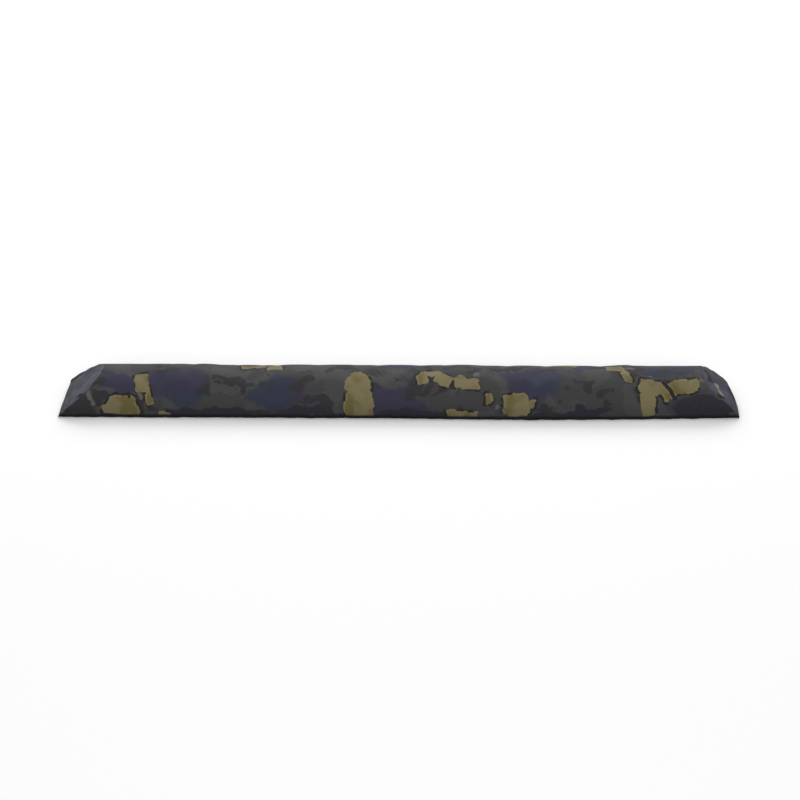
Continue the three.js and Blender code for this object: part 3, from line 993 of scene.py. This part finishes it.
# The camera looks along a line that passes the front bottom edge at the offset that the picture shows. Its
# lens is sensor * distance / (the picture's width in metres at that distance).
def makeCamera():
    tilt = math.radians(view["elevation"])
    forward = np.array([0, math.cos(tilt), -math.sin(tilt)])
    up = np.array([0, math.sin(tilt), math.cos(tilt)])
    edge = np.array([0, cadLow.y, cadLow.z])
    place = edge - forward * view["distance"] + up * view["edgeDown"] * view["metresPerPixel"]
    place[0] -= view["edgeRight"] * view["metresPerPixel"]
    lens = bpy.data.cameras.new("camera")
    lens.sensor_width = view["sensor"]
    lens.lens = view["sensor"] * view["distance"] / (view["pictureWidth"] * view["metresPerPixel"])
    camera = bpy.data.objects.new("camera", lens)
    camera.location = place
    leaning = Matrix.Rotation(math.pi / 2 - tilt, 4, "X")
    rolled = Matrix.Rotation(math.radians(view["roll"]), 4, "Z")
    camera.rotation_euler = (leaning @ rolled).to_euler()
    bpy.context.scene.collection.objects.link(camera)
    bpy.context.scene.camera = camera


makeCamera()

# The floor and the sky, and the lamps in watts, metres and degrees. A lamp behind the pad has 1, and one in
# front -1.
studio = {
    "floorSize": 30.0,
    # the floor's whiteness for the camera, and for the light that it throws back
    "floorSeen": 0.99, "floorLit": 0.25,
    "floorLift": 0.02,  # the floor glows by this much for the camera
    # the middle and the width of the ring where the floor fades into the white of the sky
    "floorFade": (2.4, 1.4),
    "worldStrength": 0.45,
    "key": {"power": 45.0, "length": 3.8, "depth": 2.6, "distance": 3.5, "elevation": 52.0, "behind": 1},
    "rim": {"power": 57.0, "length": 3.8, "depth": 1.4, "distance": 3.5, "elevation": 34.0, "behind": 1},
    "fill": {"power": 48.0, "length": 3.6, "depth": 1.2, "distance": 3.5, "elevation": 22.0, "behind": -1},
}


# A lamp at its distance and elevation from the pad, behind it or in front of it, that points at it.
def makeLamp(name, behind, elevation, distance, power, length, depth):
    lamp = bpy.data.lights.new(name, "AREA")
    lamp.energy = power
    lamp.shape = "RECTANGLE"
    lamp.size, lamp.size_y = length, depth
    stand = bpy.data.objects.new(name, lamp)
    tilt = math.radians(elevation)
    stand.location = (0, behind * distance * math.cos(tilt), distance * math.sin(tilt))
    stand.rotation_euler = (behind * (tilt - math.pi / 2), 0, 0)
    bpy.context.scene.collection.objects.link(stand)


# A white floor that keeps the pad's shadow, under a white sky that the camera sees at full strength. Far
# from the pad the floor fades into the same white.
def makeStudio():
    edge = studio["floorSize"] / 2
    square = np.array([[[-edge, -edge, 0], [-edge, edge, 0]], [[edge, -edge, 0], [edge, edge, 0]]])
    floor = gridPiece("floor", square, square[..., :2])
    finish = Finish(bpy.data.materials.new("paleFloor"))
    seen = finish.add("ShaderNodeLightPath", output="Is Camera Ray")
    white = finish.grey(studio["floorLit"] + seen * (studio["floorSeen"] - studio["floorLit"]))
    matt = finish.add("ShaderNodeBsdfDiffuse", {}, {"Color": white})
    glow = finish.add("ShaderNodeEmission", {}, {"Strength": seen * studio["floorLift"]})
    lit = finish.add("ShaderNodeAddShader", {}, [matt, glow])
    haze = finish.add("ShaderNodeEmission", {}, {"Strength": 1.0})
    place = finish.add("ShaderNodeTexCoord", {}, [], "Object")
    near = finish.below(finish.vector("LENGTH", place, output="Value"), *studio["floorFade"])
    finish.add("ShaderNodeOutputMaterial", {}, [finish.add("ShaderNodeMixShader", {}, [near, haze, lit])])
    floor.data.materials.append(finish.owner)
    bpy.context.scene.world = bpy.data.worlds.new("studio")
    sky = Finish(bpy.context.scene.world)
    seen = sky.add("ShaderNodeLightPath", output="Is Camera Ray")
    strength = studio["worldStrength"] + seen * (1 - studio["worldStrength"])
    light = sky.add("ShaderNodeBackground", {}, {"Color": (1, 1, 1, 1), "Strength": strength})
    sky.add("ShaderNodeOutputWorld", {}, [light])
    for name in ("key", "rim", "fill"):
        makeLamp(name, **studio[name])


makeStudio()
bpy.context.scene.view_settings.view_transform = "Standard"
